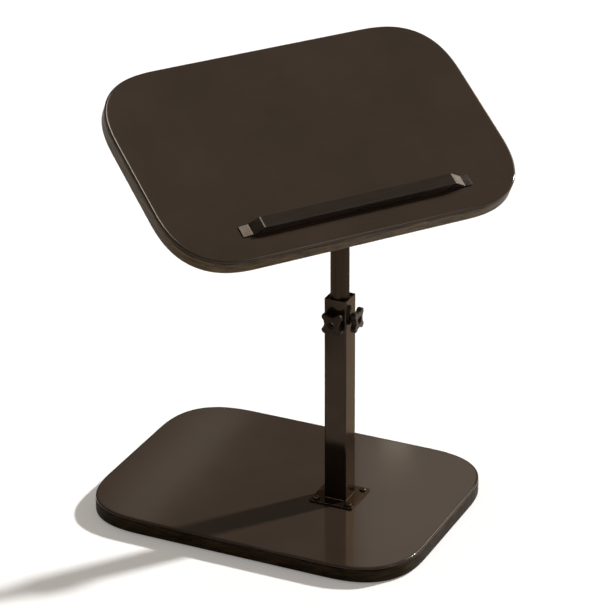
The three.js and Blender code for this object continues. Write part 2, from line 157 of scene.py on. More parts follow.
class BoardSizes(bpy.types.PropertyGroup):
    corner_reach: length("Corner reach", 134, "How far a board's corner curve runs along each side")
    corner_power: FloatProperty(
        name="Corner power", description="2 is a round corner, more is squarer", default=2.66, min=2, max=8)
    corner_segments: count("Corner segments", 40, "Steps round a board's corner", least=8)
    deck_arris: length("Deck arris", 3.5, "Rounding of the deck's upper edge")
    deck_frame: length("Deck frame", 1.5, "Narrow frame that keeps the deck flat right up to its arris")
    deck_under_chamfer: length("Under chamfer", 1.3, "Chamfer under the deck that shows as a dark line")
    band_thickness: length("Band thickness", 2, "Thickness of the plastic edge band")
    band_arris: length("Band arris", 2, "Rounding of the edge band's lower edge")
    band_top_chamfer: length("Band chamfer", 0.8, "Chamfer on the band's upper edge, under the deck")
    glue_gap: length("Glue gap", 0.3, "Room between the band and the core")
    insert_room: length("Insert hole", 9.6, "Diameter of the holes for threaded inserts")
    insert_depth: length("Insert depth", 21, "Depth of the holes for threaded inserts")
    bar_screw_room: length("Bar screw hole", 4.6, "Diameter of the holes for the stop bar's screws")


class ColumnSizes(bpy.types.PropertyGroup):
    tube_wall: length("Tube wall", 1.5, "Wall of the square tube and of the round post")
    tube_corner: length("Tube corner", 2.5, "Outer corner radius of the square tube")
    flange_corner: length("Flange corner", 3, "Corner radius of the flange")
    plate_edge: length("Plate edge", 0.9, "Rounding of the edges of steel plates")
    rim_edge: length("Rim edge", 0.3, "Rounding of sawn tube ends")
    guide_corner: length("Guide corner", 2, "Corner radius of the plastic guide")
    guide_bore: length("Guide bore", 32.6, "Bore of the guide for the post")
    stud_hole: length("Stud hole", 9.4, "Diameter of the holes that the clamp studs pass through")
    weld_leg: length("Weld leg", 1.4, "Leg of the weld round the column's foot")
    weld_face: portion("Weld face", 0.9, "How much of its leg the weld's slanting face takes")
    weld_hollow: portion("Weld hollow", 0.35, "Profile of the weld's face, hollow below one half")
    nut_edge: length("Nut edge", 0.8, "Rounding of the welded nuts")


class KnobSizes(bpy.types.PropertyGroup):
    tip_radius: length("Tip radius", 23, "From the knob's middle to the tip of a lobe")
    waist_radius: length("Waist radius", 13.5, "From the knob's middle to the hollow between lobes")
    lobe_radius: length("Lobe radius", 6, "Radius of a lobe's round end")
    lobes: count("Lobes", 4, "Lobes of a star knob", least=3)
    lobe_segments: count("Lobe segments", 24, "Steps round a lobe and the waist beside it", least=8)
    hub_diameter: length("Hub diameter", 17, "Diameter of the hub behind the star")
    hub_height: length("Hub height", 2, "Height of the hub behind the star")
    edge: length("Edge", 1.8, "Rounding of the star's edges")
    dish_diameter: length("Dish diameter", 14, "Diameter of the dish in the knob's face")
    dish_depth: length("Dish depth", 1.6, "Depth of the dish in the knob's face")
    dish_edge: length("Dish edge", 0.4, "Rounding of the dish's rim")
    bore: length("Bore", 8.6, "Bore for the stud")
    stud_diameter: length("Stud", 8, "Diameter of the clamp studs and the tilt bolt")
    stud_chamfer: length("Stud chamfer", 0.8, "Chamfer at their ends")


class ScrewSizes(bpy.types.PropertyGroup):
    shank: length("Shank", 6, "Diameter of the machine screws")
    clearance: length("Clearance", 0.6, "How much wider than the shank the hole in a steel plate is")
    head: length("Head", 11.5, "Diameter of their pan heads")
    head_height: length("Head height", 3.5, "Height of their pan heads")
    crown: length("Crown", 2.4, "How far the head's rounding runs")
    socket: length("Socket", 4.6, "Across the corners of the hexagonal socket")
    socket_depth: length("Socket depth", 2, "Depth of the hexagonal socket")


class BarScrewSizes(bpy.types.PropertyGroup):
    shank: length("Shank", 4, "Diameter of the stop bar's screws")
    head_height: length("Head height", 2.6, "Height of their pan heads")
    crown: length("Crown", 1.8, "How far the head's rounding runs")
    socket: length("Socket", 3.4, "Across the corners of the hexagonal socket")
    socket_depth: length("Socket depth", 1.4, "Depth of the hexagonal socket")


class JointSizes(bpy.types.PropertyGroup):
    cheek: length("Cheek", 3.5, "Thickness of the fork's cheeks and the bracket's ears")
    lug_radius: length("Lug radius", 14, "Radius of the round end of a cheek or ear")
    fork_plate: length("Fork plate", 4, "Thickness of the plate between the cheeks")
    ear_foot: length("Ear foot", 56, "Width of a bracket ear where it leaves the plate")
    bracket_plate: length("Bracket plate", 3, "Thickness of the plate under the top")
    bracket_corner: length("Bracket corner", 6, "Corner radius of the plate under the top")
    washer_gap: length("Washer gap", 0.3, "Room between a friction washer and the ear beside it")
    washer_edge: length("Washer edge", 0.2, "Rounding of the washers and the spacer")
    bolt_head: length("Bolt head", 4, "Height of the tilt bolt's head")
    bolt_crown: length("Bolt crown", 1.2, "How far the bolt head's rounding runs")
    bolt_socket: length("Bolt socket", 7, "Across the corners of the bolt's hexagonal socket")
    bolt_socket_depth: length("Bolt socket depth", 2, "Depth of the bolt's hexagonal socket")


class BarSizes(bpy.types.PropertyGroup):
    tab_length: length("Tab length", 16, "Length of the thin tab at each end")
    tab_thickness: length("Tab thickness", 3, "Thickness of the thin tab at the slope's foot")
    tab_tip: length("Tab tip", 1.2, "Thickness of the thin tab at its outer end")
    slope_run: length("Slope run", 19, "Run of the slope from a tab to the bar's full height")
    edge: length("Edge", 0.8, "Rounding of the bar's edges")
    head_facet: length("Head facet", 1.7, "Reach of the facet where a slope meets the bar's top")
    foot_hollow: length("Foot hollow", 1.6, "Reach of the hollow where a slope runs out into a tab")
    screw_hole: length("Screw hole", 4.6, "Diameter of the two blind holes under the bar")
    screw_depth: length("Screw depth", 8.3, "Depth of the two blind holes under the bar")


class Colours(bpy.types.PropertyGroup):
    film: colour("Film", "#362C24", "Dark brown film on the boards' upper faces")
    band_dark: colour("Band, dark", "#2C2218", "Dark streaks of the edge band's print")
    band_light: colour("Band, light", "#5A4A34", "Light streaks of the edge band's print")
    # Painted shade: the base's band is the same edging as the top's, drawn darker because less light
    # reaches it near the floor.
    base_band_painted_shade: portion("Base band", 0.32, "How light the base's edge band is against the top's")
    foil: colour("Foil", "#2A221C", "Backing foil under the boards")
    coat: colour("Powder coat", "#352C25", "Bronze coat on the column, flange, fork and bracket")
    post: colour("Post", "#322920", "Stoved paint on the round post")
    knob: colour("Knob", "#2A2119", "Moulded plastic of the star knobs")
    bar: colour("Bar", "#29231F", "Moulded plastic of the stop bar")
    floor: colour("Floor", "#F1F1F1", "Plain floor")


class StageSettings(bpy.types.PropertyGroup):
    azimuth: angle("Azimuth", 25.056, "Camera's turn about the column, from the front towards the right")
    elevation: angle("Elevation", 25.057, "Camera's height above the horizon")
    roll: angle("Roll", -0.224, "Camera's turn about its own line of sight")
    lens: FloatProperty(
        name="Lens", description="Focal length on a 36 mm wide sensor, in millimetres",
        default=178.55, min=10)
    distance: length("Distance", 5210.1, "From the camera to the column's foot, along the line of sight")
    foot_right: length("Foot, right", 57.85, "Column's foot to the right of the line of sight")
    foot_below: length("Foot, below", 325.59, "Column's foot below the line of sight")
    key_bearing: angle("Key bearing", 51.7, "Turn of the key light from the table's right towards its back")
    key_height: angle("Key height", 35, "Height of the key light above the horizon")
    key_spread: angle("Key spread", 3.5, "How wide the key light is, seen from the table")
    key_share: portion("Key share", 0.74, "Part of the light on a level face that comes from the key")
    horizon: colour("Horizon", "#66584A", "Colour of the surroundings at the horizon")
    overhead: colour("Overhead", "#AEA79D", "Colour of the surroundings straight above")
    floor_size: length("Floor size", 80000, "Width of the floor, so wide that low views don't see past it")
    floor_drop: length("Floor drop", 0.2, "Gap between the floor and the sheet that stands on it")
    floor_lift: portion("Floor lift", 0.2, "Glow that brings the floor to white for the eye and in mirrors")


SETTINGS = {
    "table_boards": BoardSizes,
    "table_column": ColumnSizes,
    "table_knobs": KnobSizes,
    "table_screws": ScrewSizes,
    "table_bar_screws": BarScrewSizes,
    "table_joint": JointSizes,
    "table_bar": BarSizes,
    "table_colours": Colours,
    "table_stage": StageSettings,
}


# Shaping by hand, in code

def take(piece):
    """Makes a piece the only one selected, and active."""
    bpy.ops.object.select_all(action="DESELECT")
    piece.select_set(True)
    bpy.context.view_layer.objects.active = piece


@contextmanager
def editing(piece, mode="EDGE"):
    take(piece)
    bpy.ops.object.mode_set(mode="EDIT")
    bpy.ops.mesh.select_mode(type=mode)
    bpy.ops.mesh.select_all(action="DESELECT")
    yield bmesh.from_edit_mesh(piece.data)
    bpy.ops.object.mode_set(mode="OBJECT")


def pick(elements, wanted):
    """Selects the elements that pass the test."""
    for element in list(elements):
        if wanted(element):
            element.select_set(True)


def upright(edge):
    a, b = (v.co for v in edge.verts)
    return (a - b).xy.length < NEAR and abs(a.z - b.z) > NEAR


def at_height(z):
    """A test for edges that lie at one height."""
    return lambda edge: all(abs(v.co.z - z) < NEAR for v in edge.verts)


def facing(direction):
    """A test for faces that look one way."""
    return lambda face: face.normal.dot(Vector(direction)) > SAME_WAY


def placed():
    bpy.ops.object.transform_apply(location=True, rotation=True, scale=True)
    return bpy.context.object


def block(low, high):
    """A box between two corners."""
    bpy.ops.object.select_all(action="DESELECT")
    low, high = Vector(low), Vector(high)
    bpy.ops.mesh.primitive_cube_add(size=1, location=(low + high) / 2, scale=high - low)
    return placed()


def rod(radius, bottom, top, x=0, y=0, sides=64):
    """A cylinder along Z from one height to another."""
    bpy.ops.object.select_all(action="DESELECT")
    middle = (x, y, (bottom + top) / 2)
    bpy.ops.mesh.primitive_cylinder_add(vertices=sides, radius=radius, depth=top - bottom, location=middle)
    return placed()


def through(diameter, bottom, top, sides=48):
    """A tool along Z for a hole right through what lies between two heights."""
    return rod(diameter / 2, bottom - SPARE, top + SPARE, sides=sides)


def bevel(piece, wanted, size, segments=4, profile=0.5):
    """Rounds the edges that pass the test."""
    with editing(piece) as mesh:
        pick(mesh.edges, wanted)
        bpy.ops.mesh.bevel(
            offset=size, segments=segments, profile=profile, affect="EDGES", clamp_overlap=False)
    return piece


def frame_face(piece, direction, thickness):
    """Keeps a flat face flat right up to a rounded edge, with a narrow frame inside its outline."""
    with editing(piece, "FACE") as mesh:
        flat = max(filter(facing(direction), mesh.faces), key=lambda face: face.calc_area())
        flat.select_set(True)
        bpy.ops.mesh.inset(thickness=thickness)
    return piece


def modify(piece, kind, **settings):
    """Adds a modifier and applies it."""
    take(piece)
    bpy.ops.object.modifier_add(type=kind)
    modifier = piece.modifiers[-1]
    for name, value in settings.items():
        setattr(modifier, name, value)
    bpy.ops.object.modifier_apply(modifier=modifier.name)
    return piece


def combine(piece, others, operation):
    for other in others:
        modify(piece, "BOOLEAN", object=other, operation=operation, solver="EXACT")
        bpy.data.objects.remove(other)
    return piece


def cut(piece, *tools):
    return combine(piece, tools, "DIFFERENCE")


def join(piece, *others):
    return combine(piece, others, "UNION")


def copy_of(piece):
    """A copy with a mesh of its own."""
    take(piece)
    bpy.ops.object.duplicate(linked=False)
    return bpy.context.object


def turned(piece, place):
    piece.matrix_world = place
    take(piece)
    return placed()


def dress(piece, node, group="base", place=None, finish=None, smooth=35, stands_for=True):
    """Puts a finished shape in its place, with its slot's finish, instead of a solid or beside one."""
    turned(piece, place or PLACES[group])
    piece.name = f"{node}_shape" if stands_for else node
    piece.data.name = piece.name
    bpy.ops.object.shade_smooth_by_angle(angle=math.radians(smooth))
    modify(piece, "WEIGHTED_NORMAL", keep_sharp=True, weight=100)
    piece.data.materials.clear()
    piece.data.materials.append(finish or finish_for(node, group))
    if stands_for:
        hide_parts(node)
        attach(piece, frame["nodes"][node]["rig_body"])


def slot_of(node):
    return next(p["material_slot"] for p in frame["record"]["subparts"] if p["node"] == node)


# Finishes

def add(tree, kind, inputs=None, **settings):
    """Adds a node with its settings. An input is a value, or the output that it is linked from."""
    node = tree.nodes.new(kind)
    for name, value in settings.items():
        setattr(node, name, value)
    for key, value in (inputs or {}).items():
        if isinstance(value, bpy.types.NodeSocket):
            tree.links.new(value, node.inputs[key])
        else:
            node.inputs[key].default_value = value
    return node


class Finish:
    """A material under construction: its shader, and patterns measured on the piece in millimetres."""

    def __init__(self, name, place, sockets):
        self.material = bpy.data.materials.new(name)
        self.material.use_nodes = True
        self.tree = self.material.node_tree
        self.shader = self.tree.nodes["Principled BSDF"]
        self.place = place
        for socket, value in sockets.items():
            self.shader.inputs[socket].default_value = value

    def noise(self, grain, detail=2, roughness=0.5):
        """Noise with a grain of so many millimetres along each axis of the piece's group."""
        where = add(self.tree, "ShaderNodeTexCoord").outputs["Object"]
        measured = add(self.tree, "ShaderNodeMapping", {
            "Vector": where,
            "Location": self.place.translation,
            "Rotation": self.place.to_euler(),
            "Scale": [size * MM for size in grain],
        }, vector_type="TEXTURE").outputs["Vector"]
        return add(self.tree, "ShaderNodeTexNoise", {
            "Vector": measured, "Scale": 1.0, "Detail": detail, "Roughness": roughness,
        }).outputs["Fac"]

    def between(self, factor, low, high, start=0.3, end=0.7):
        """A value that runs from low to high while the factor runs from start to end."""
        return add(self.tree, "ShaderNodeMapRange", {
            "Value": factor, "From Min": start, "From Max": end, "To Min": low, "To Max": high,
        }).outputs["Result"]

    def paint(self, factor, dark, light):
        """Colours the piece between two colours."""
        mixed = add(self.tree, "ShaderNodeMix", {0: factor, 6: dark, 7: light}, data_type="RGBA")
        self.tree.links.new(mixed.outputs[2], self.shader.inputs["Base Color"])

    def mottle(self, factor, tone, darkest, lightest):
        """Colours the piece between a darker and a lighter share of one colour."""
        self.paint(self.between(factor, 0, 1), shade(tone, darkest), shade(tone, lightest))

    def gloss(self, factor, shiniest, dullest):
        """Spreads the roughness between two values."""
        self.tree.links.new(self.between(factor, shiniest, dullest), self.shader.inputs["Roughness"])

    def relief(self, height, depth, strength):
        """Raises and lowers the surface by a depth in millimetres."""
        bump = add(self.tree, "ShaderNodeBump", {
            "Height": height, "Distance": depth * MM, "Strength": strength,
        })
        last = self.shader.inputs["Normal"]
        if last.is_linked:
            self.tree.links.new(last.links[0].from_socket, bump.inputs["Normal"])
        self.tree.links.new(bump.outputs["Normal"], last)


def shade(colour_value, share):
    """A colour made lighter or darker."""
    return (*[min(1.0, part * share) for part in colour_value], 1.0)


def film_faced_board(colours, name, place):
    """Melamine film pressed on fibreboard between polished plates: deep brown, even, with a soft mirror
    in flat light. The eye gets a slight cloudiness and very fine, straight pores along the board."""
    finish = Finish(name, place, {"Specular IOR Level": 0.25, "IOR": 1.5})
    clouds = finish.noise((110, 110, 110), detail=3)
    pores = finish.noise((46, 1.9, 1.9), detail=3)  # real pores are 0.3 mm wide, drawn coarser to show
    tone = add(finish.tree, "ShaderNodeMath", {
        0: finish.between(pores, 0.0, 0.35), 1: finish.between(clouds, 0.0, 0.65),
    }, operation="ADD").outputs[0]
    finish.paint(tone, shade(colours.film, 0.86), shade(colours.film, 1.16))
    finish.gloss(clouds, 0.085, 0.105)
    finish.relief(pores, 0.004, 0.2)
    return finish.material


def printed_edge_band(colours, name, place):
    """Plastic edging with a printed and embossed grain: long light and dark streaks along the edge, which
    the eye reads as a mottled brown side. The base's copy is darker and less glossy all over: painted shade
    for the little light that reaches the band near the floor."""
    # Painted shade: on the base, the band's colours and gloss are lowered by this share for the light that
    # it lacks near the floor.
    share = colours.base_band_painted_shade if place == AT_BASE else 1
    finish = Finish(name, place, {
        "Specular IOR Level": 0.12 * share, "Specular Tint": (1.0, 0.8, 0.6, 1.0)})
    streaks = finish.noise((26, 26, 3.4), detail=4, roughness=0.62)
    flecks = finish.noise((5, 5, 1.1), detail=3)
    tone = finish.between(streaks, 0.0, 1.0, 0.36, 0.64)
    finish.paint(tone, shade(colours.band_dark, share), shade(colours.band_light, share))
    finish.gloss(flecks, 0.34, 0.55)
    finish.relief(streaks, 0.5, 0.5)
    finish.relief(flecks, 0.12, 0.5)
    return finish.material


def backing_foil(colours, name, place):
    """Printed paper foil on the underside: flat, dull and a little fibrous."""
    finish = Finish(name, place, {"Specular IOR Level": 0.3})
    fibres = finish.noise((9, 1.6, 1.6), detail=3)
    finish.mottle(fibres, colours.foil, 0.85, 1.15)
    finish.gloss(fibres, 0.5, 0.62)
    finish.relief(fibres, 0.04, 0.4)
    return finish.material


def powder_coat(colours, name, place):
    """Dark bronze powder coat, metal pigment bonded in it, baked smooth: black from afar, with a warm
    brown mirror in its flat faces that a fine orange peel softens."""
    finish = Finish(name, place, {
        "Metallic": 0.65, "Specular IOR Level": 0.12, "Specular Tint": (0.72, 0.61, 0.5, 1.0)})
    peel = finish.noise((2.2, 2.2, 2.2))  # real peel is about 1 mm, drawn coarser to show
    patches = finish.noise((30, 30, 30))
    finish.mottle(patches, colours.coat, 0.92, 1.1)
    finish.gloss(patches, 0.09, 0.12)
    finish.relief(peel, 0.006, 0.3)
    return finish.material


def stoved_paint(colours, name, place):
    """The same bronze on drawn steel tube, thinner: satin, with faint drawing lines down the post."""
    finish = Finish(name, place, {
        "Metallic": 0.7, "Specular IOR Level": 0.08, "Specular Tint": (0.4, 0.34, 0.28, 1.0)})
    lines = finish.noise((1.6, 1.6, 60))
    finish.mottle(lines, colours.post, 0.88, 1.12)
    finish.gloss(lines, 0.3, 0.38)
    finish.relief(lines, 0.01, 0.3)
    return finish.material


def moulded_knob(colours, name, place):
    """Glass-filled nylon moulded in an eroded tool: matt black with a fine, even grain."""
    finish = Finish(name, place, {"Specular IOR Level": 0.1, "Specular Tint": (1.0, 0.85, 0.7, 1.0)})
    grain = finish.noise((0.9, 0.9, 0.9))  # real grain is about 0.2 mm, drawn coarser to show
    flow = finish.noise((7, 7, 7))
    finish.mottle(flow, colours.knob, 0.85, 1.2)
    finish.gloss(flow, 0.26, 0.34)
    finish.relief(grain, 0.04, 0.4)
    return finish.material


def moulded_bar(colours, name, place):
    """Moulded plastic bar with a satin polish: nearly smooth, brighter where an edge turns."""
    finish = Finish(name, place, {"Specular IOR Level": 0.18, "Specular Tint": (1.0, 0.9, 0.8, 1.0)})
    flow = finish.noise((60, 9, 9))
    grain = finish.noise((1.2, 1.2, 1.2))
    finish.mottle(flow, colours.bar, 0.9, 1.12)
    finish.gloss(flow, 0.14, 0.18)
    finish.relief(grain, 0.01, 0.3)
    return finish.material


def plain_metal(name, code, place, shiniest):
    """Small turned hardware, with fine turning marks that spread the shine."""
    finish = Finish(name, place, {"Metallic": 1.0})
    marks = finish.noise((3, 3, 0.5), detail=3)
    finish.mottle(marks, linear(code)[:3], 0.88, 1.08)
    finish.gloss(marks, shiniest, shiniest + 0.12)
    finish.relief(marks, 0.03, 0.4)
    return finish.material


def zinc_plate(colours, name, place):
    """Bright zinc plate, passivated: pale grey metal with a soft, slightly uneven shine."""
    return plain_metal(name, "#A9A69F", place, 0.27)


def black_oxide(colours, name, place):
    """Black oxide on steel, oiled: nearly black, with small sharp highlights."""
    return plain_metal(name, "#4A443D", place, 0.11)


def brass(colours, name, place):
    """Turned brass: warm yellow metal."""
    return plain_metal(name, "#C9A25A", place, 0.25)


def black_nylon(colours, name, place):
    """Moulded black nylon, waxy and a little uneven."""
    finish = Finish(name, place, {"Specular IOR Level": 0.4})
    skin = finish.noise((1.5, 1.5, 1.5))
    finish.paint(finish.between(skin, 0, 1), linear("#121110"), linear("#1B1A18"))
    finish.gloss(skin, 0.45, 0.58)
    finish.relief(skin, 0.05, 0.4)
    return finish.material


def non_slip_sheet(colours, name, place):
    """Thin foamed rubber: dull black with a close, pebbled face."""
    finish = Finish(name, place, {"Specular IOR Level": 0.25})
    pebbles = finish.noise((2.4, 2.4, 2.4))
    finish.paint(finish.between(pebbles, 0, 1), linear("#141312"), linear("#242220"))
    finish.gloss(pebbles, 0.8, 0.95)
    finish.relief(pebbles, 0.5, 0.6)
    return finish.material


FINISHES = {
    "deck": film_faced_board,
    "band": printed_edge_band,
    "core": backing_foil,
    "rubber": non_slip_sheet,
    "coated_steel": powder_coat,
    "zinc_steel": zinc_plate,
    "black_screw": black_oxide,
    "brass": brass,
    "nylon": black_nylon,
    "knob": moulded_knob,
    "bar": moulded_bar,
}
PLACES = {"base": AT_BASE, "post": AT_POST, "top": AT_TOP}


def finish_for(node, group="base"):
    """The finish of a solid's material slot, with its pattern along the axes of a group."""
    making = FINISHES[slot_of(node)]
    name = f"{making.__name__}_{group}"
    colours = bpy.context.scene.table_colours
    return bpy.data.materials.get(name) or making(colours, name, PLACES[group])


# Boards

def board(low, high, inset=0):
    """A flat board with the corner curve that both boards share, drawn in by an inset."""
    sizes = bpy.context.scene.table_boards
    profile = 2 ** (-2 / sizes.corner_power)  # how the bevel measures a curve of that power
    reach = sizes.corner_reach - inset
    return bevel(block(low, high), upright, reach, sizes.corner_segments, profile)


def ring_between(outer, inner, heights):
    """A ring from two boards of one height: their flat faces go, and their rims are joined instead."""
    for piece in (outer, inner):
        with editing(piece, "FACE") as mesh:
            pick(mesh.faces, facing((0, 0, 1)))
            pick(mesh.faces, facing((0, 0, -1)))
            bpy.ops.mesh.delete(type="ONLY_FACE")
    with editing(inner, "FACE"):
        bpy.ops.mesh.select_all(action="SELECT")
        bpy.ops.mesh.flip_normals()
    take(outer)
    inner.select_set(True)
    bpy.ops.object.join()
    for height in heights:
        with editing(outer) as mesh:
            pick(mesh.edges, lambda edge: edge.is_boundary and at_height(height)(edge))
            bpy.ops.mesh.bridge_edge_loops()
    return outer


def drill(piece, nodes, place, diameter, bottom, top):
    """Holes along Z at the places of these solids."""
    for node in nodes:
        low, high = own_box(node, place)
        middle = (low + high) / 2
        cut(piece, rod(diameter / 2, bottom, top, middle.x, middle.y, sides=24))


def numbered(name, last=4):
    return [f"{name}_{number}" for number in range(1, last + 1)]


def make_deck(sizes, low, high):
    """The upper panel of a board, rounded above and chamfered below."""
    deck = board(low, high)
    bevel(deck, at_height(high.z), sizes.deck_arris, segments=6)
    bevel(deck, at_height(low.z), sizes.deck_under_chamfer, segments=1)
    return frame_face(deck, (0, 0, 1), sizes.deck_frame)


def make_band(sizes, low, high):
    """The plastic edging: a thin ring with the board's corners."""
    band = board(low, high)
    bevel(band, at_height(low.z), sizes.band_arris)
    bevel(band, at_height(high.z), sizes.band_top_chamfer, segments=1)
    step = Vector((sizes.band_thickness, sizes.band_thickness, 0))
    return ring_between(band, board(low + step, high - step, sizes.band_thickness), (low.z, high.z))


def make_boards(sizes):
    for group, place in (("base", AT_BASE), ("top", AT_TOP)):
        low, high = own_box(f"{group}_deck", place)
        deck = make_deck(sizes, low, high)
        band = make_band(sizes, *own_box(f"{group}_edge_band", place))
        core_low, core_high = own_box(f"{group}_core", place)
        core = board(core_low, core_high, sizes.band_thickness + sizes.glue_gap)
        bottom, top = core_low.z - SPARE, high.z + SPARE
        if group == "base":
            for piece in (core, deck):
                drill(piece, numbered("flange_insert"), place, sizes.insert_room,
                      high.z - sizes.insert_depth, top)
        else:
            drill(core, numbered("bracket_insert"), place, sizes.insert_room,
                  bottom, core_low.z + sizes.insert_depth)
            for piece in (core, deck):
                drill(piece, numbered("bar_screw", 2), place, sizes.bar_screw_room, bottom, top)
        for part, piece in (("deck", deck), ("edge_band", band), ("core", core)):
            dress(piece, f"{group}_{part}", group)


def make_sheet():
    """The non-slip sheet under the base, with the base's corners drawn in."""
    low, high = own_box("base_nonslip_sheet", AT_BASE)
    inset = low.x - own_box("base_deck", AT_BASE)[0].x
    dress(board(low, high, inset), "base_nonslip_sheet")


# Column

def make_tube(sizes):
    """The square tube, with round corners and open at both ends."""
    low, high = own_box("outer_column", AT_BASE)
    tube = bevel(block(low, high), upright, sizes.tube_corner, segments=6)
    step, tall = Vector((sizes.tube_wall, sizes.tube_wall, 0)), Vector((0, 0, SPARE))
    hollow = block(low + step - tall, high - step + tall)
    cut(tube, bevel(hollow, upright, sizes.tube_corner - sizes.tube_wall, segments=6))
    bevel(tube, at_height(high.z), sizes.rim_edge, segments=2)
    cut(tube, *stud_holes(sizes.stud_hole, high.x + SPARE))
    dress(tube, "outer_column")


def stud_holes(diameter, reach):
    """Tools for the holes that the two clamp studs pass through."""
    return [turned(rod(diameter / 2, 0, reach, sides=32), AT_CLAMP[side]) for side in COLUMN_SIDES]


def machine_screw_hole():
    screws = bpy.context.scene.table_screws
    return screws.shank + screws.clearance


def make_flange(sizes):
    low, high = own_box("column_flange", AT_BASE)
    plate = bevel(block(low, high), upright, sizes.flange_corner, segments=6)
    bevel(plate, at_height(high.z), sizes.plate_edge, segments=3)
    drill(plate, numbered("flange_screw"), AT_BASE, machine_screw_hole(), low.z - SPARE, high.z + SPARE)
    dress(plate, "column_flange")


def make_weld(sizes):
    """The bead round the column's foot, which has no solid of its own."""
    low, high = own_box("outer_column", AT_BASE)
    low.z = own_box("column_flange", AT_BASE)[1].z
    leg = sizes.weld_leg
    high.z = low.z + leg
    around, tall = Vector((leg, leg, 0)), Vector((0, 0, SPARE))
    bead = bevel(block(low - around, high + around), upright, sizes.tube_corner + leg, segments=6)
    bevel(bead, at_height(high.z), leg * sizes.weld_face, profile=sizes.weld_hollow)
    cut(bead, bevel(block(low - tall, high + tall), upright, sizes.tube_corner, segments=6))
    dress(bead, "column_weld", finish=finish_for("outer_column"), stands_for=False)
    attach(bead, "base")


def make_weld_nuts(sizes):
    bore = bpy.context.scene.table_knobs.bore
    for side in COLUMN_SIDES:
        node = f"{side}_weld_nut"
        low, high = own_box(node, AT_CLAMP[side])
        nut = rod(high.x, low.z, high.z, sides=48)
        bevel(nut, at_height(high.z), sizes.nut_edge, segments=3)
        cut(nut, through(bore, low.z, high.z, sides=32))
        dress(nut, node, place=AT_CLAMP[side])


def make_guide(sizes):
    low, high = own_box("upper_guide_sleeve", AT_BASE)
    sleeve = bevel(block(low, high), upright, sizes.guide_corner)
    cut(sleeve, through(sizes.guide_bore, low.z, high.z, sides=96))
    cut(sleeve, *stud_holes(sizes.stud_hole, high.x + SPARE))
    dress(sleeve, "upper_guide_sleeve")


# Post

def make_post(sizes):
    low, high = own_box("inner_post", AT_POST)
    post = rod(high.x, low.z, high.z, sides=96)
    cut(post, rod(high.x - sizes.tube_wall, low.z - SPARE, high.z + SPARE, sides=96))
    bevel(post, at_height(high.z), sizes.rim_edge, segments=2)
    paint = stoved_paint(bpy.context.scene.table_colours, "stoved_paint_post", AT_POST)
    dress(post, "inner_post", "post", finish=paint)


# Clamps

def star_radius(sizes, bearing):
    """How far a star knob's outline lies from its middle: round lobes joined by hollow waists."""
    pitch = 2 * math.pi / sizes.lobes
    reach = sizes.tip_radius - sizes.lobe_radius
    lobe = Vector((reach * math.cos(pitch / 2), reach * math.sin(pitch / 2)))
    gap = sizes.waist_radius - lobe.x
    waist = (gap ** 2 + lobe.y ** 2 - sizes.lobe_radius ** 2) / (2 * (sizes.lobe_radius - gap))
    waist_centre = sizes.waist_radius + waist
    meeting = Vector((waist_centre, 0)).lerp(lobe, waist / (waist + sizes.lobe_radius))
    off = abs((bearing + pitch / 2) % pitch - pitch / 2)  # turn from the nearest waist
    if off < math.atan2(meeting.y, meeting.x):
        across = waist_centre * math.sin(off)
        return waist_centre * math.cos(off) - math.sqrt(waist ** 2 - across ** 2)
    turn = pitch / 2 - off
    across = reach * math.sin(turn)
    return reach * math.cos(turn) + math.sqrt(sizes.lobe_radius ** 2 - across ** 2)


def draw_to_star(disc, sizes):
    """Draws a disc's rim in to a star. Points that end up equally far out are moved together."""
    sides = sizes.lobes * sizes.lobe_segments
    radii = {}
    for number in range(sides):
        radius = round(star_radius(sizes, 2 * math.pi * number / sides), 7)  # alike to 0.1 micrometre
        radii.setdefault(radius, []).append(number)

    def number_of(vertex):
        return round(math.atan2(vertex.co.y, vertex.co.x) / (2 * math.pi) * sides) % sides

    for radius, numbers in radii.items():
        share = radius / sizes.tip_radius
        with editing(disc, "VERT") as mesh:
            pick(mesh.verts, lambda vertex: number_of(vertex) in numbers)
            bpy.ops.transform.resize(value=(share, share, 1), center_override=(0, 0, 0))


def star_knob(sizes, top):
    """A star knob that stands on height zero: a star with a hub under it and a dish in its face."""
    bottom = sizes.hub_height
    knob = rod(sizes.tip_radius, bottom, top, sides=sizes.lobes * sizes.lobe_segments)
    draw_to_star(knob, sizes)
    for height in (top, bottom):
        bevel(knob, at_height(height), sizes.edge)
    join(knob, rod(sizes.hub_diameter / 2, 0, bottom + sizes.edge, sides=48))
    rim = sizes.dish_diameter / 2
    cut(knob, rod(rim, top - sizes.dish_depth, top + SPARE, sides=64))
    cut(knob, through(sizes.bore, 0, top))

    def dish_rim(edge):
        return at_height(top)(edge) and all(abs(v.co.xy.length - rim) < NEAR for v in edge.verts)

    return bevel(knob, dish_rim, sizes.dish_edge, segments=2)


def make_knobs(sizes):
    low, high = own_box("front_clamp_knob", AT_CLAMP["front"])
    pattern = star_knob(sizes, high.z - low.z)
    for side, place in AT_CLAMP.items():
        node = f"{side}_clamp_knob"
        group = "top" if side == "tilt" else "base"
        seat = Matrix.Translation((0, 0, own_box(node, place)[0].z))
        dress(copy_of(pattern), node, group, place @ seat, smooth=40)
    bpy.data.objects.remove(pattern)


def make_studs(sizes):
    for side in COLUMN_SIDES:
        node = f"{side}_clamp_stud"
        low, high = own_box(node, AT_CLAMP[side])
        stud = rod(sizes.stud_diameter / 2, low.z, high.z, sides=32)
        bevel(stud, at_height(high.z), sizes.stud_chamfer, segments=1)
        dress(stud, node, place=AT_CLAMP[side])


# Screws

def pan_screw(sizes, head, below):
    """A screw along Z with its seat at height zero: a crowned head with a hexagonal socket."""
    top = sizes.head_height
    screw = rod(head / 2, 0, top, sides=48)
    bevel(screw, at_height(top), sizes.crown, segments=6)
    cut(screw, rod(sizes.socket / 2, top - sizes.socket_depth, top + SPARE, sides=6))
    return join(screw, rod(sizes.shank / 2, -below, OVERLAP, sides=24))


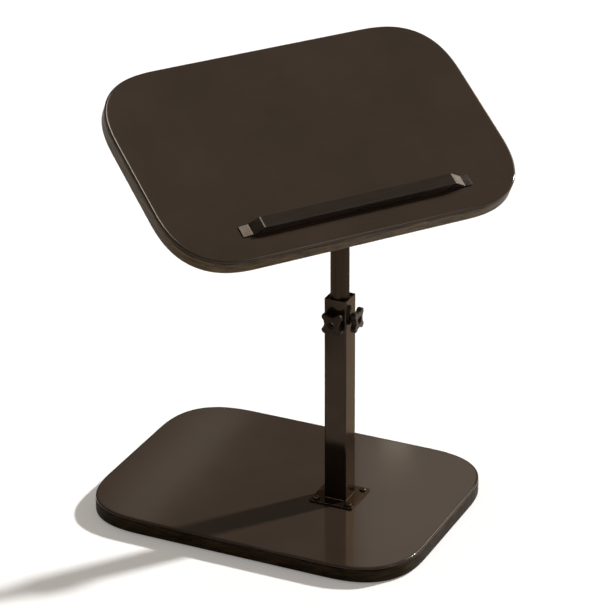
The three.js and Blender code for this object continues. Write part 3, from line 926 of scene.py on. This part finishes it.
def seat_screws(pattern, nodes, group, head_height):
    """Copies of a screw in the places of these solids: heads up in the base, heads down under the top."""
    place = PLACES[group]
    for node in nodes:
        low, high = own_box(node, place)
        middle = (low + high) / 2
        if group == "base":
            seat = Matrix.Translation((middle.x, middle.y, high.z - head_height))
        else:
            seat = Matrix.Translation((middle.x, middle.y, low.z + head_height)) @ UPSIDE_DOWN
        dress(copy_of(pattern), node, group, place @ seat)


def make_screws(machine, small):
    low, high = own_box("flange_screw_1", AT_BASE)
    pattern = pan_screw(machine, machine.head, high.z - low.z - machine.head_height)
    seat_screws(pattern, numbered("flange_screw"), "base", machine.head_height)
    seat_screws(pattern, numbered("bracket_screw"), "top", machine.head_height)
    bpy.data.objects.remove(pattern)

    low, high = own_box("bar_screw_1", AT_TOP)
    pattern = pan_screw(small, high.x - low.x, high.z - low.z - small.head_height)
    seat_screws(pattern, numbered("bar_screw", 2), "top", small.head_height)
    bpy.data.objects.remove(pattern)


# Tilt joint

def lug(radius, foot, foot_half, low_x, high_x):
    """A flat lug across X: a round end about the axis, drawn in straight lines to a wider foot."""
    end = turned(rod(radius, low_x, high_x, sides=64), ACROSS)
    near, far = sorted((foot, foot - math.copysign(SLIVER, foot)))
    base = block((low_x, -foot_half, near), (high_x, foot_half, far))
    take(end)
    base.select_set(True)
    bpy.ops.object.join()
    with editing(end, "VERT"):
        bpy.ops.mesh.select_all(action="SELECT")
        bpy.ops.mesh.convex_hull()
        bpy.ops.mesh.select_all(action="SELECT")
        bpy.ops.mesh.dissolve_limited(angle_limit=math.radians(0.5))
    return end


def soften(piece, size):
    """Rounds every sharp edge a little."""
    sharp = math.radians(40)
    return modify(piece, "BEVEL", width=size, segments=2, limit_method="ANGLE", angle_limit=sharp)


def make_fork(sizes):
    """The fork on the post's end: a plate and two cheeks."""
    low, high = own_box("post_head", AT_FORK)
    fork = block(low, (high.x, high.y, low.z + sizes.fork_plate))
    for near, far in ((low.x, low.x + sizes.cheek), (high.x - sizes.cheek, high.x)):
        join(fork, lug(sizes.lug_radius, low.z, high.y, near, far))
    cut(fork, turned(through(bpy.context.scene.table_knobs.bore, low.x, high.x), ACROSS))
    soften(fork, bpy.context.scene.table_column.plate_edge)
    dress(fork, "post_head", "post", AT_FORK)


def make_bracket(sizes):
    """The bracket under the top: a plate and two ears outside the friction washers."""
    low, high = own_box("top_bracket", AT_TOP)
    under = high.z - sizes.bracket_plate
    bracket = block((low.x, low.y, under), high)
    bevel(bracket, upright, sizes.bracket_corner, segments=6)
    inner = own_box("right_friction_washer", AT_TOP)[1].x + sizes.washer_gap
    outer = inner + sizes.cheek
    foot = high.z - sizes.bracket_plate / 2
    for near, far in ((-outer, -inner), (inner, outer)):
        join(bracket, lug(sizes.lug_radius, foot, sizes.ear_foot / 2, near, far))
    cut(bracket, turned(through(bpy.context.scene.table_knobs.bore, low.x, high.x), ACROSS))
    drill(bracket, numbered("bracket_screw"), AT_TOP, machine_screw_hole(), under - SPARE, high.z + SPARE)
    soften(bracket, bpy.context.scene.table_column.plate_edge)
    dress(bracket, "top_bracket", "top")


def make_rings(sizes):
    """The spacer between the fork's cheeks, and the washers on the bolt."""
    for node, place, group in (
            ("head_spacer", AT_FORK, "post"),
            ("left_friction_washer", AT_TOP, "top"),
            ("right_friction_washer", AT_TOP, "top"),
            ("tilt_clamp_washer", AT_TOP, "top")):
        low, high = own_box(node, place)
        ring = rod(high.y, low.x, high.x, sides=64)
        for height in (low.x, high.x):
            bevel(ring, at_height(height), sizes.washer_edge, segments=2)
        cut(ring, through(bpy.context.scene.table_knobs.bore, low.x, high.x))
        dress(ring, node, group, place @ ACROSS)


def make_tilt_bolt(sizes):
    knobs = bpy.context.scene.table_knobs
    low, high = own_box("tilt_bolt", AT_TOP)
    head = low.x + sizes.bolt_head
    bolt = rod(high.y, low.x, head, sides=48)
    bevel(bolt, at_height(low.x), sizes.bolt_crown)
    cut(bolt, rod(sizes.bolt_socket / 2, low.x - SPARE, low.x + sizes.bolt_socket_depth, sides=6))
    shank = rod(knobs.stud_diameter / 2, head - OVERLAP, high.x, sides=32)
    bevel(shank, at_height(high.x), knobs.stud_chamfer, segments=1)
    dress(join(bolt, shank), "tilt_bolt", "top", AT_TOP @ ACROSS)


# Stop bar

def across_at(x, z):
    """A test for edges that run across the bar at one place along it."""
    return lambda edge: all(abs(v.co.x - x) < NEAR and abs(v.co.z - z) < NEAR for v in edge.verts)


def make_stop_bar(sizes):
    """A bar drawn out at both ends to a slope and a thin tab."""
    low, high = own_box("stop_bar", AT_TOP)
    middle = (low.x + high.x) / 2
    foot = (high.x - low.x) / 2 - sizes.tab_length
    head = foot - sizes.slope_run
    bar = block((middle - head, low.y, low.z), (middle + head, high.y, high.z))
    runs_and_shares = (
        (sizes.slope_run, sizes.tab_thickness / (high.z - low.z)),
        (sizes.tab_length, sizes.tab_tip / sizes.tab_thickness),
    )
    for side in (-1, 1):
        with editing(bar, "FACE") as mesh:
            pick(mesh.faces, facing((side, 0, 0)))
            for run, share in runs_and_shares:
                bpy.ops.mesh.extrude_region_move(TRANSFORM_OT_translate={"value": (side * run, 0, 0)})
                bpy.ops.transform.resize(value=(1, 1, share), center_override=(middle, 0, low.z))
    for side in (-1, 1):
        bevel(bar, across_at(middle + side * head, high.z), sizes.head_facet, segments=2)
        bevel(bar, across_at(middle + side * foot, low.z + sizes.tab_thickness), sizes.foot_hollow)
    sharp = math.radians(50)
    bevel(bar, lambda edge: edge.calc_face_angle(0) > sharp, sizes.edge, segments=3)
    drill(bar, numbered("bar_screw", 2), AT_TOP, sizes.screw_hole, low.z - SPARE, low.z + sizes.screw_depth)
    dress(bar, "stop_bar", "top")


# Solids that keep their own shape

def finish_hidden_solids():
    """Gives every solid that still shows the finish of its slot."""
    groups = {"post": "post", "slide_bush": "post", "top": "top", "tilt_washer": "top", "tilt_knob": "top"}
    for node, solid in frame["nodes"].items():
        if not solid.hide_render:
            solid.data.materials.clear()
            solid.data.materials.append(finish_for(node, groups.get(solid["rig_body"], "base")))


# Stage

def camera_axes(settings):
    """The camera's right, up and forward directions."""
    turn, lift = settings.azimuth, settings.elevation
    right = Vector((math.cos(turn), math.sin(turn), 0))
    ahead = Vector((-math.sin(turn) * math.cos(lift), math.cos(turn) * math.cos(lift), -math.sin(lift)))
    up = right.cross(ahead)
    rolled = Matrix.Rotation(-settings.roll, 3, ahead)
    return rolled @ right, rolled @ up, ahead


def aim(thing, towards):
    """Turns a lamp's beam to a point."""
    thing.rotation_euler = (Vector(towards) - thing.location).to_track_quat("-Z", "Y").to_euler()


def make_key(settings):
    """The key light: far away, so that every place gets the same light and the same shadow."""
    bpy.ops.object.light_add(type="SUN")
    key = bpy.context.object
    key.name = "key"
    key.data.angle = settings.key_spread
    key.data.energy = math.pi * settings.key_share / math.sin(settings.key_height)
    flat = math.cos(settings.key_height)
    key.location = (
        math.cos(settings.key_bearing) * flat,
        math.sin(settings.key_bearing) * flat,
        math.sin(settings.key_height),
    )
    aim(key, (0, 0, 0))


def gloss_panel(name, place, width, depth, brightness, turn=0, towards=None):
    """A soft panel that shows in glossy faces and leaves the plain light as it is."""
    bpy.ops.object.light_add(type="AREA", location=place, rotation=(0, 0, turn))
    panel = bpy.context.object
    panel.name = name
    panel.data.shape = "RECTANGLE"
    panel.data.size, panel.data.size_y = width, depth
    panel.data.energy = brightness * math.pi * width * depth  # so that brightness 1 looks white
    panel.data.color = linear(LAMP_TINT)[:3]
    panel.visible_camera = panel.visible_diffuse = False
    if towards:
        aim(panel, towards)


def mirrored_panel(name, height, eye, level, middle, width, depth, turn, brightness):
    """A panel overhead whose mirror image lies on the base: its middle, size and turn there."""
    eye_below = Vector((eye.x, eye.y, 2 * level - eye.z))
    spread = (height - eye_below.z) / (level - eye_below.z)
    place = eye_below + (Vector((*middle, level)) - eye_below) * spread
    gloss_panel(name, place, width * spread, depth * spread, brightness, turn)


def make_world(settings):
    """Soft surroundings that grow brighter from the horizon to the zenith, and are white to the camera."""
    world = bpy.data.worlds.new("studio")
    bpy.context.scene.world = world
    world.use_nodes = True
    tree = world.node_tree
    look = add(tree, "ShaderNodeTexCoord").outputs["Generated"]
    rise = add(tree, "ShaderNodeSeparateXYZ", {"Vector": look}).outputs["Z"]
    squared = add(tree, "ShaderNodeMath", {0: rise, 1: rise}, operation="MULTIPLY").outputs[0]
    glow = add(tree, "ShaderNodeMix", {
        0: squared, 6: (*settings.horizon, 1), 7: (*settings.overhead, 1),
    }, data_type="RGBA").outputs[2]
    seen = add(tree, "ShaderNodeLightPath").outputs["Is Camera Ray"]
    shown = add(tree, "ShaderNodeMix", {0: seen, 6: glow, 7: WHITE}, data_type="RGBA").outputs[2]
    tree.links.new(shown, tree.nodes["Background"].inputs["Color"])


def make_floor(settings, tone):
    """A matt floor that keeps the shadow, and is white elsewhere to the camera and in glossy faces."""
    bpy.ops.object.select_all(action="DESELECT")
    bpy.ops.mesh.primitive_plane_add(size=settings.floor_size, location=(0, 0, -settings.floor_drop))
    floor = placed()
    floor.name = "floor"
    finish = Finish("matt_floor_paint", AT_BASE, {
        "Specular IOR Level": 0.1, "Roughness": 0.9, "Emission Color": WHITE})
    finish.mottle(finish.noise((40, 40, 40)), tone, 0.99, 1.0)
    rays = add(finish.tree, "ShaderNodeLightPath").outputs
    seen = add(finish.tree, "ShaderNodeMath", {
        0: rays["Is Camera Ray"], 1: rays["Is Glossy Ray"],
    }, operation="MAXIMUM").outputs[0]
    lift = add(finish.tree, "ShaderNodeMath", {
        0: seen, 1: settings.floor_lift,
    }, operation="MULTIPLY").outputs[0]
    finish.tree.links.new(lift, finish.shader.inputs["Emission Strength"])
    floor.data.materials.append(finish.material)


def make_camera(settings, foot):
    right, up, ahead = camera_axes(settings)
    bpy.ops.object.camera_add()
    camera = bpy.context.object
    camera.name = "camera"
    place = foot - right * settings.foot_right + up * settings.foot_below - ahead * settings.distance
    camera.matrix_world = Matrix.Translation(place) @ Matrix((right, up, -ahead)).transposed().to_4x4()
    camera.data.sensor_width = SENSOR_WIDTH
    camera.data.lens = settings.lens
    camera.data.clip_end = SIGHT
    bpy.context.scene.camera = camera
    return camera


def make_base_panels(settings, eye, level):
    """Panels whose mirror images lie on the base: a narrow one at its left, a broad one at its right,
    and a small glow behind the column's foot."""
    along_view = settings.azimuth
    for panel in (
            dict(name="left_panel", height=1.5, middle=(-0.320, 0.0),
                 width=0.12, depth=0.50, turn=0.05, brightness=0.27),
            dict(name="left_panel_core", height=1.45, middle=(-0.300, 0.0),
                 width=0.075, depth=0.50, turn=0.05, brightness=0.22),
            dict(name="right_panel", height=1.5, middle=(0.155, 0.03),
                 width=0.26, depth=0.60, turn=along_view, brightness=0.75),
            dict(name="right_glow", height=1.45, middle=(0.012, 0.215),
                 width=0.05, depth=0.10, turn=along_view, brightness=1.4)):
        mirrored_panel(eye=eye, level=level, **panel)


def make_edge_panels(settings, foot):
    """Panels that light rounded edges: on the right, along the top's front, and those that face up."""
    gloss_panel("right_edge_panel", place=(0.95, 2.4, 2.1), width=1.2, depth=1.5, brightness=6.0,
                towards=foot)
    gloss_panel("front_edge_panel", place=(1.85, -0.05, 2.4), width=0.7, depth=0.9, brightness=4.5,
                towards=TILT["pos_m"])
    gloss_panel("overhead_panel", place=(-0.42, -0.1, 2.9), width=1.4, depth=1.05, brightness=14.0,
                turn=settings.key_bearing)


def make_stage(settings, colours):
    foot = Vector((0, 0, own_box("base_deck", AT_BASE)[1].z))
    camera = make_camera(settings, foot)
    make_world(settings)
    make_floor(settings, colours.floor)
    make_key(settings)
    make_base_panels(settings, camera.location, foot.z)
    make_edge_panels(settings, foot)
    bpy.context.scene.view_settings.view_transform = "Standard"


# Operators, one for each group of pieces and one for the stage

class TABLE_OT_stage(bpy.types.Operator):
    """Set up the camera, the floor and the lamps"""
    bl_idname = "side_table.stage"
    bl_label = "Stage"

    def execute(self, context):
        make_stage(context.scene.table_stage, context.scene.table_colours)
        return {"FINISHED"}


class TABLE_OT_boards(bpy.types.Operator):
    """Model the base and the top: deck, edge band, core and non-slip sheet"""
    bl_idname = "side_table.boards"
    bl_label = "Boards"

    def execute(self, context):
        make_boards(context.scene.table_boards)
        make_sheet()
        return {"FINISHED"}


class TABLE_OT_column(bpy.types.Operator):
    """Model the square column with its flange, weld, welded nuts and guide"""
    bl_idname = "side_table.column"
    bl_label = "Column"

    def execute(self, context):
        for make in (make_tube, make_flange, make_weld, make_weld_nuts, make_guide):
            make(context.scene.table_column)
        return {"FINISHED"}


class TABLE_OT_post(bpy.types.Operator):
    """Model the round post"""
    bl_idname = "side_table.post"
    bl_label = "Post"

    def execute(self, context):
        make_post(context.scene.table_column)
        return {"FINISHED"}


class TABLE_OT_clamps(bpy.types.Operator):
    """Model the three star knobs and the clamp studs"""
    bl_idname = "side_table.clamps"
    bl_label = "Clamps"

    def execute(self, context):
        make_knobs(context.scene.table_knobs)
        make_studs(context.scene.table_knobs)
        return {"FINISHED"}


class TABLE_OT_screws(bpy.types.Operator):
    """Model the screws of the flange, the bracket and the stop bar"""
    bl_idname = "side_table.screws"
    bl_label = "Screws"

    def execute(self, context):
        make_screws(context.scene.table_screws, context.scene.table_bar_screws)
        return {"FINISHED"}


class TABLE_OT_tilt_joint(bpy.types.Operator):
    """Model the fork, the bracket, the tilt bolt and what is on it"""
    bl_idname = "side_table.tilt_joint"
    bl_label = "Tilt joint"

    def execute(self, context):
        for make in (make_fork, make_bracket, make_rings, make_tilt_bolt):
            make(context.scene.table_joint)
        return {"FINISHED"}


class TABLE_OT_stop_bar(bpy.types.Operator):
    """Model the stop bar across the top"""
    bl_idname = "side_table.stop_bar"
    bl_label = "Stop bar"

    def execute(self, context):
        make_stop_bar(context.scene.table_bar)
        return {"FINISHED"}


class TABLE_OT_hidden_solids(bpy.types.Operator):
    """Give the small solids that keep their own shape their finishes"""
    bl_idname = "side_table.hidden_solids"
    bl_label = "Inner pieces"

    def execute(self, context):
        finish_hidden_solids()
        return {"FINISHED"}


OPERATORS = [
    TABLE_OT_stage,
    TABLE_OT_boards,
    TABLE_OT_column,
    TABLE_OT_post,
    TABLE_OT_clamps,
    TABLE_OT_screws,
    TABLE_OT_tilt_joint,
    TABLE_OT_stop_bar,
    TABLE_OT_hidden_solids,
]


class TABLE_PT_panel(bpy.types.Panel):
    """Lists the table's pieces and their sizes"""
    bl_idname = "TABLE_PT_panel"
    bl_label = "Side table"
    bl_space_type = "VIEW_3D"
    bl_region_type = "UI"
    bl_category = "Side table"

    def draw(self, context):
        for operator in OPERATORS:
            self.layout.operator(operator.bl_idname)
        for name, group in SETTINGS.items():
            box = self.layout.box()
            box.label(text=group.__name__)
            for prop in group.__annotations__:
                box.prop(getattr(context.scene, name), prop)


def register():
    for group in SETTINGS.values():
        bpy.utils.register_class(group)
    for name, group in SETTINGS.items():
        setattr(bpy.types.Scene, name, PointerProperty(type=group))
    for kind in (*OPERATORS, TABLE_PT_panel):
        bpy.utils.register_class(kind)


def unregister():
    for kind in reversed((*OPERATORS, TABLE_PT_panel)):
        bpy.utils.unregister_class(kind)
    for name, group in SETTINGS.items():
        delattr(bpy.types.Scene, name)
        bpy.utils.unregister_class(group)


def main():
    register()
    for operator in OPERATORS:
        group, name = operator.bl_idname.split(".")
        getattr(getattr(bpy.ops, group), name)()


if __name__ == "__main__":
    main()
